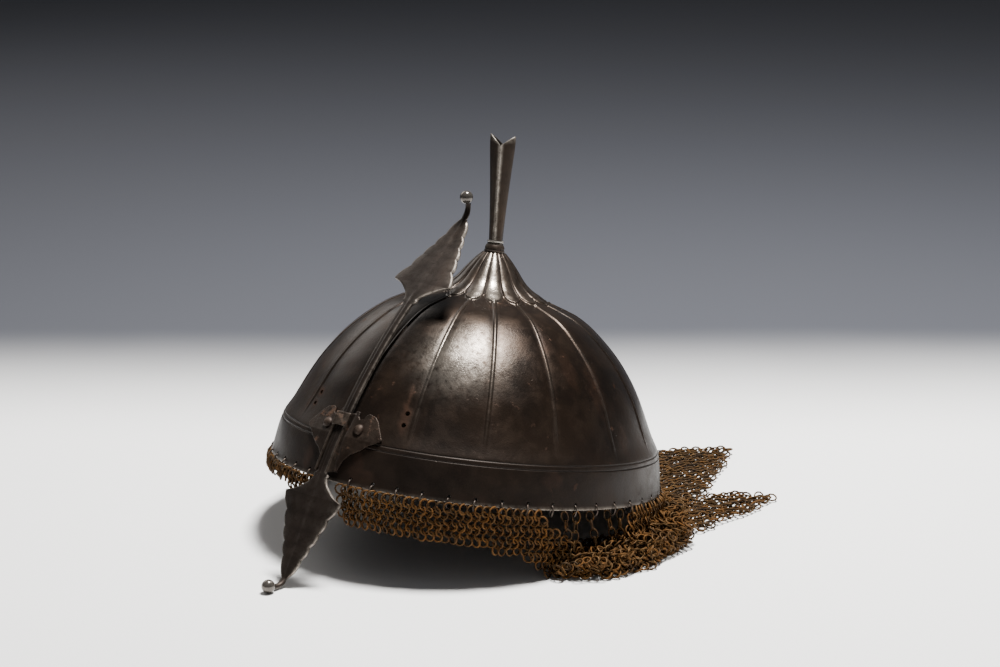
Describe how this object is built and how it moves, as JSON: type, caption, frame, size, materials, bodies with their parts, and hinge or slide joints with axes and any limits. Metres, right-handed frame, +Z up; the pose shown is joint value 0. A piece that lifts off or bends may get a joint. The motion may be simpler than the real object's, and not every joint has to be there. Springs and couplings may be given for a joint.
{
  "type": "helmet",
  "caption": "Steel helmet with a ribbed bowl, chased petals at the crown, a plume tube, a sliding nasal with scalloped leaves and a mail curtain, leaning back as it lies on its mail.",
  "frame": {"origin": "middle of the footprint, on the surface that the helmet lies on", "axes": "+Z up, -Y towards the wearer's front, +X towards the wearer's left"},
  "size_m": [0.2496, 0.3346, 0.2046],
  "materials": {
    "dark_steel": "dark patinated, semi-gloss",
    "worn_steel": "brown patinated, satin",
    "bright_steel": "polished",
    "rusty_mail": "rusty, dull"
  },
  "bodies": {
    "helmet": {"bowl": "dark_steel", "collar": "dark_steel", "washer": "bright_steel", "plume_tube": "worn_steel", "nasal_bracket": "dark_steel", "rivet_left": "worn_steel", "rivet_right": "worn_steel", "aventail": "rusty_mail"},
    "nasal": {"nasal": "worn_steel", "upper_ball": "bright_steel", "lower_ball": "bright_steel"}
  },
  "joints": [
    {"name": "nasal_slide", "type": "hinge", "parent": "helmet", "child": "nasal", "pos_m": [0, 0.13116, -0.10424], "axis": [1, 0, 0], "range_deg": [-0.15, 12]}
  ]
}
